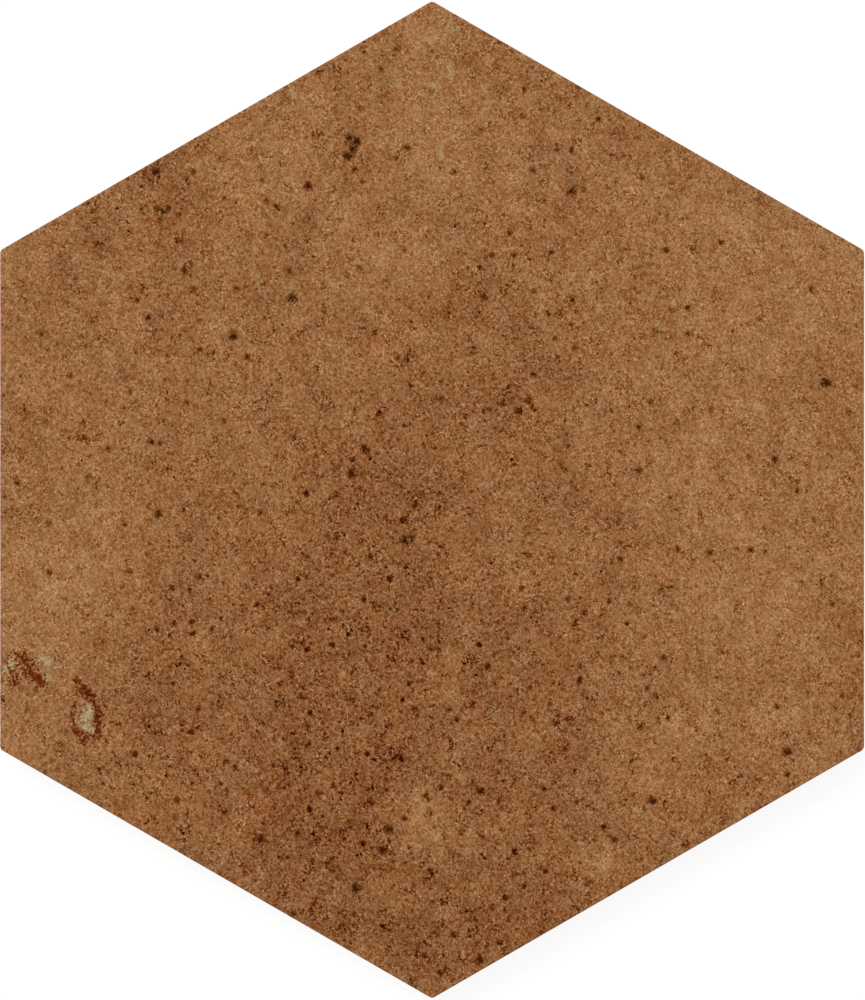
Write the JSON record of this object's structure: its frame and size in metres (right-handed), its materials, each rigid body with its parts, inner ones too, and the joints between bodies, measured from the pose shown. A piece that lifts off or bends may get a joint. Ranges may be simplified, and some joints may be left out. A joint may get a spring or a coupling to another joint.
{
  "type": "hexagon floor tile",
  "caption": "Regular hexagon floor tile of unglazed fired clay: flat walking face, eased arris, upright joint sides and a honeycomb keying relief on the back.",
  "frame": {"origin": "middle of the back face, where the tile lies on its bed", "axes": "+Z out of the walking face, +Y through a corner, +X through the middle of a side"},
  "size_m": [0.24, 0.2768, 0.01],
  "materials": {
    "fired_clay": "matt unglazed, mottled red-brown and tan with dark specks"
  },
  "bodies": {
    "root": {"floor_tile": "fired_clay"}
  },
  "joints": []
}
